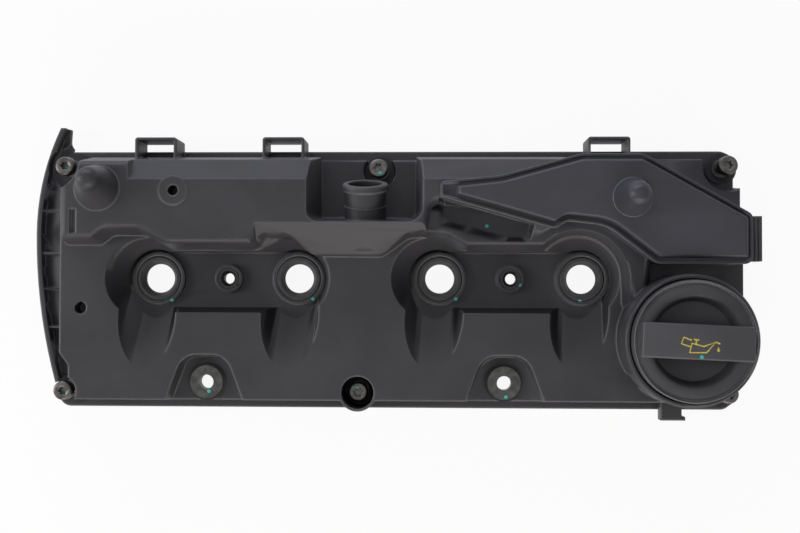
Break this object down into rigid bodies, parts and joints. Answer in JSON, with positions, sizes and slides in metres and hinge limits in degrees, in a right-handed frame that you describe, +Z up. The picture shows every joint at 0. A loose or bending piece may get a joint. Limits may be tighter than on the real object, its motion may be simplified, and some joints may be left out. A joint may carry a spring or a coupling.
{
  "type": "engine valve cover",
  "caption": "Moulded black plastic valve cover with sunk injector pits, breather tube, oil separator lid, captive flange bolts and a turning oil filler cap.",
  "frame": {"origin": "middle of the cover's bounding box in X and Y, on the sealing plane under the gasket", "axes": "+X along the engine from the splash wing to the filler, +Y to the back edge with the harness loops, +Z up, out of the cylinder head"},
  "size_m": [0.4478, 0.183, 0.0954],
  "materials": {
    "cover_plastic": "moulded black plastic with a fine satin grain",
    "lid_plastic": "moulded black plastic, a little smoother",
    "inner_plastic": "plain black plastic",
    "cap_plastic": "moulded black plastic, satin",
    "rail_rubber": "smooth black rubber",
    "bush_rubber": "matte black rubber",
    "seal_rubber": "smooth dark grey rubber",
    "sleeve_steel": "zinc plated",
    "bolt_steel": "zinc plated, dull"
  },
  "bodies": {
    "cover": {"cover_body": "cover_plastic", "rail_gasket": "rail_rubber", "separator_lid": "lid_plastic", "separator_baffle": "inner_plastic", "injector_seal_1": "seal_rubber", "injector_seal_2": "seal_rubber", "injector_seal_3": "seal_rubber", "injector_seal_4": "seal_rubber", "clamp_seal_1": "seal_rubber", "clamp_seal_2": "seal_rubber", "bolt_sleeve_front_left": "sleeve_steel", "bolt_grommet_front_left": "bush_rubber", "bolt_sleeve_front_right": "sleeve_steel", "bolt_grommet_front_right": "bush_rubber", "bolt_sleeve_back_left": "sleeve_steel", "bolt_grommet_back_left": "bush_rubber", "bolt_sleeve_back_right": "sleeve_steel", "bolt_grommet_back_right": "bush_rubber", "bolt_sleeve_front_middle": "sleeve_steel", "bolt_grommet_front_middle": "bush_rubber", "bolt_sleeve_back_middle": "sleeve_steel", "bolt_grommet_back_middle": "bush_rubber", "open_sleeve_left": "sleeve_steel", "open_grommet_left": "bush_rubber", "open_sleeve_right": "sleeve_steel", "open_grommet_right": "bush_rubber"},
    "filler_cap": {"oil_cap": "cap_plastic", "oil_cap_seal": "bush_rubber"},
    "bolt_front_left": {"cover_bolt_front_left": "bolt_steel"},
    "bolt_front_right": {"cover_bolt_front_right": "bolt_steel"},
    "bolt_back_left": {"cover_bolt_back_left": "bolt_steel"},
    "bolt_back_right": {"cover_bolt_back_right": "bolt_steel"},
    "bolt_front_middle": {"cover_bolt_front_middle": "bolt_steel"},
    "bolt_back_middle": {"cover_bolt_back_middle": "bolt_steel"}
  },
  "joints": [
    {"name": "oil_cap_turn", "type": "hinge", "parent": "cover", "child": "filler_cap", "pos_m": [0.1781, -0.0401, 0.06], "axis": [0, 0, 1], "range_deg": [0, 90]},
    {"name": "bolt_travel_front_left", "type": "slide", "parent": "cover", "child": "bolt_front_left", "axis": [0, 0, -1], "range_m": [0, 0.0139]},
    {"name": "bolt_travel_front_right", "type": "slide", "parent": "cover", "child": "bolt_front_right", "axis": [0, 0, -1], "range_m": [0, 0.0139]},
    {"name": "bolt_travel_back_left", "type": "slide", "parent": "cover", "child": "bolt_back_left", "axis": [0, 0, -1], "range_m": [0, 0.0139]},
    {"name": "bolt_travel_back_right", "type": "slide", "parent": "cover", "child": "bolt_back_right", "axis": [0, 0, -1], "range_m": [0, 0.0139]},
    {"name": "bolt_travel_front_middle", "type": "slide", "parent": "cover", "child": "bolt_front_middle", "axis": [0, 0, -1], "range_m": [0, 0.0139]},
    {"name": "bolt_travel_back_middle", "type": "slide", "parent": "cover", "child": "bolt_back_middle", "axis": [0, 0, -1], "range_m": [0, 0.0139]}
  ]
}
